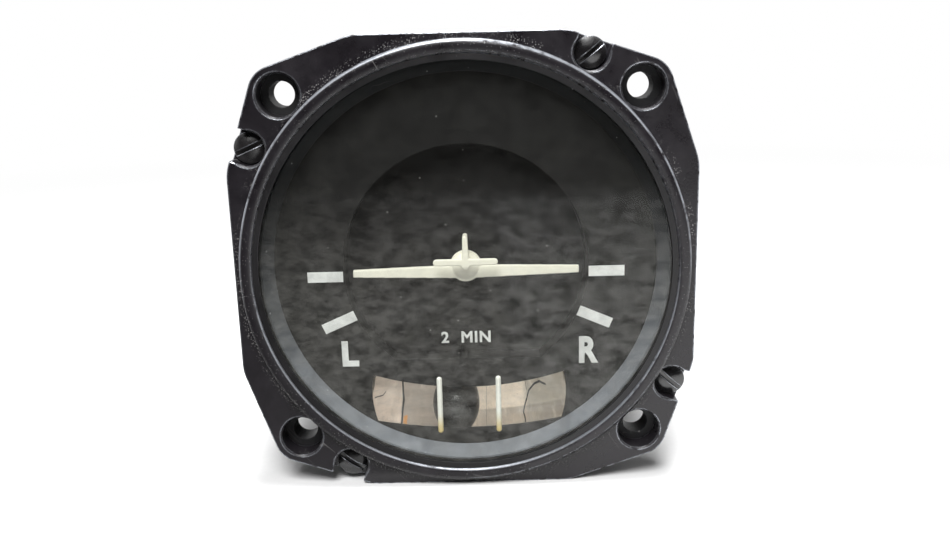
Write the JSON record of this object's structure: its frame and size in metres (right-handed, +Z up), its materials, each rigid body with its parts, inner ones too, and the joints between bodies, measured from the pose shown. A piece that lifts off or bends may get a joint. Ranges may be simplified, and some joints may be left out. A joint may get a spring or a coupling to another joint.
{
  "type": "rate of turn indicator",
  "caption": "Panel-mounted gyro instrument: a miniature aeroplane banks over a black dial to show rate of turn, with a slip ball in a curved tube below it.",
  "frame": {"origin": "on the axis of the case, in the face of the flange that lies against the panel", "axes": "+Y along the case axis towards the connector, so the dial faces -Y; +Z up; +X to the right of one who reads the dial"},
  "size_m": [0.0826, 0.1455, 0.0826],
  "materials": {
    "bezel_black": "semi-gloss black, worn to bright metal on the lip",
    "screw_black": "black oxide steel",
    "ring_black": "semi-gloss black",
    "window_glass": "clear",
    "gasket_rubber": "matt",
    "reflector_grey": "matt light grey",
    "dial_black": "matt black",
    "mark_white": "matt white paint",
    "lining_black": "matt black",
    "aeroplane_cream": "satin cream",
    "steel": "machined",
    "bearing_steel": "polished",
    "brass": "turned",
    "aluminium": "machined",
    "tube_glass": "clear",
    "ball_black": "polished black",
    "plug_cork": "matt",
    "backing_beige": "matt strip, cracked with age",
    "wire_cream": "satin cream paint",
    "case_black": "semi-matt black",
    "label_plate": "satin, blank",
    "connector_grey": "dull plated",
    "insert_grey": "matt",
    "contact_gold": "gold plated",
    "core_steel": "laminated steel",
    "winding_copper": "enamelled copper wire",
    "board_green": "satin",
    "component_dark": "gloss",
    "wire_insulation": "satin"
  },
  "bodies": {
    "instrument": {"bezel": "bezel_black", "bezel_screws": "screw_black", "window_retaining_ring": "ring_black", "window_glass": "window_glass", "window_gasket": "gasket_rubber", "reflector_ring": "reflector_grey", "dial_plate": "dial_black", "dial_marks": "mark_white", "recess_lining": "lining_black", "flange_seal": "gasket_rubber", "pointer_bearings": "bearing_steel", "pointer_bridge": "aluminium", "inclinometer_tube": "tube_glass", "tube_end_plugs": "plug_cork", "tube_backing": "backing_beige", "tube_holder": "aluminium", "reference_wires": "wire_cream", "case": "case_black", "rear_cover": "case_black", "rear_gasket": "gasket_rubber", "rear_screws": "steel", "data_plate": "label_plate", "plate_rivets": "aluminium", "connector_shell": "connector_grey", "connector_insert": "insert_grey", "connector_pins": "contact_gold", "connector_screws": "steel", "chassis_front_plate": "lining_black", "chassis_posts": "aluminium", "chassis_rear_plate": "aluminium", "chassis_screws": "steel", "front_pivot_bracket": "aluminium", "rear_pivot_bracket": "aluminium", "gimbal_bearings": "bearing_steel", "stop_pins": "steel", "spring_arm": "aluminium", "centring_spring": "steel", "damper_cylinder": "aluminium", "damper_bracket": "aluminium", "circuit_board": "board_green", "board_parts": "component_dark", "board_standoffs": "aluminium", "lead_wires": "wire_insulation"},
    "gimbal": {"gimbal_frame": "aluminium", "gimbal_pivots": "steel", "drive_pin": "steel", "rotor_axle": "steel", "axle_nuts": "steel", "rotor_bearings": "bearing_steel", "stator_core": "core_steel", "stator_windings": "winding_copper", "spring_post": "steel", "damper_pin": "steel"},
    "rotor": {"gyro_rotor": "brass", "rotor_end_cover": "brass"},
    "pointer": {"miniature_aeroplane": "aeroplane_cream", "pointer_shaft": "steel", "pointer_fork": "brass"},
    "piston": {"damper_piston": "aluminium"},
    "ball": {"inclinometer_ball": "ball_black"}
  },
  "joints": [
    {"name": "gimbal_tilt", "type": "hinge", "parent": "instrument", "child": "gimbal", "pos_m": [0, 0.04495, 0], "axis": [0, -0.866, 0.5], "range_deg": [-12, 12], "stiffness_Nm_per_rad": 0.02, "deforming": ["centring_spring"]},
    {"name": "pointer_bank", "type": "hinge", "parent": "instrument", "child": "pointer", "pos_m": [0, 0.0165, 0], "axis": [0, -1, 0], "range_deg": [-35, 35]},
    {"name": "damper_stroke", "type": "slide", "parent": "instrument", "child": "piston", "axis": [1, 0, 0], "range_m": [-0.0038, 0.0038]},
    {"name": "rotor_spin", "type": "hinge", "parent": "gimbal", "child": "rotor", "pos_m": [0, 0.04495, 0], "axis": [1, 0, 0], "continuous": true},
    {"name": "ball_roll", "type": "hinge", "parent": "instrument", "child": "ball", "pos_m": [0, -0.0003, 0.0608], "axis": [0, -1, 0], "range_deg": [-7.4, 10.7]}
  ],
  "couplings": [
    {"joint": "pointer_bank", "follows": "gimbal_tilt", "ratio": 2.85},
    {"joint": "damper_stroke", "follows": "gimbal_tilt", "m_per_rad": -0.018}
  ]
}
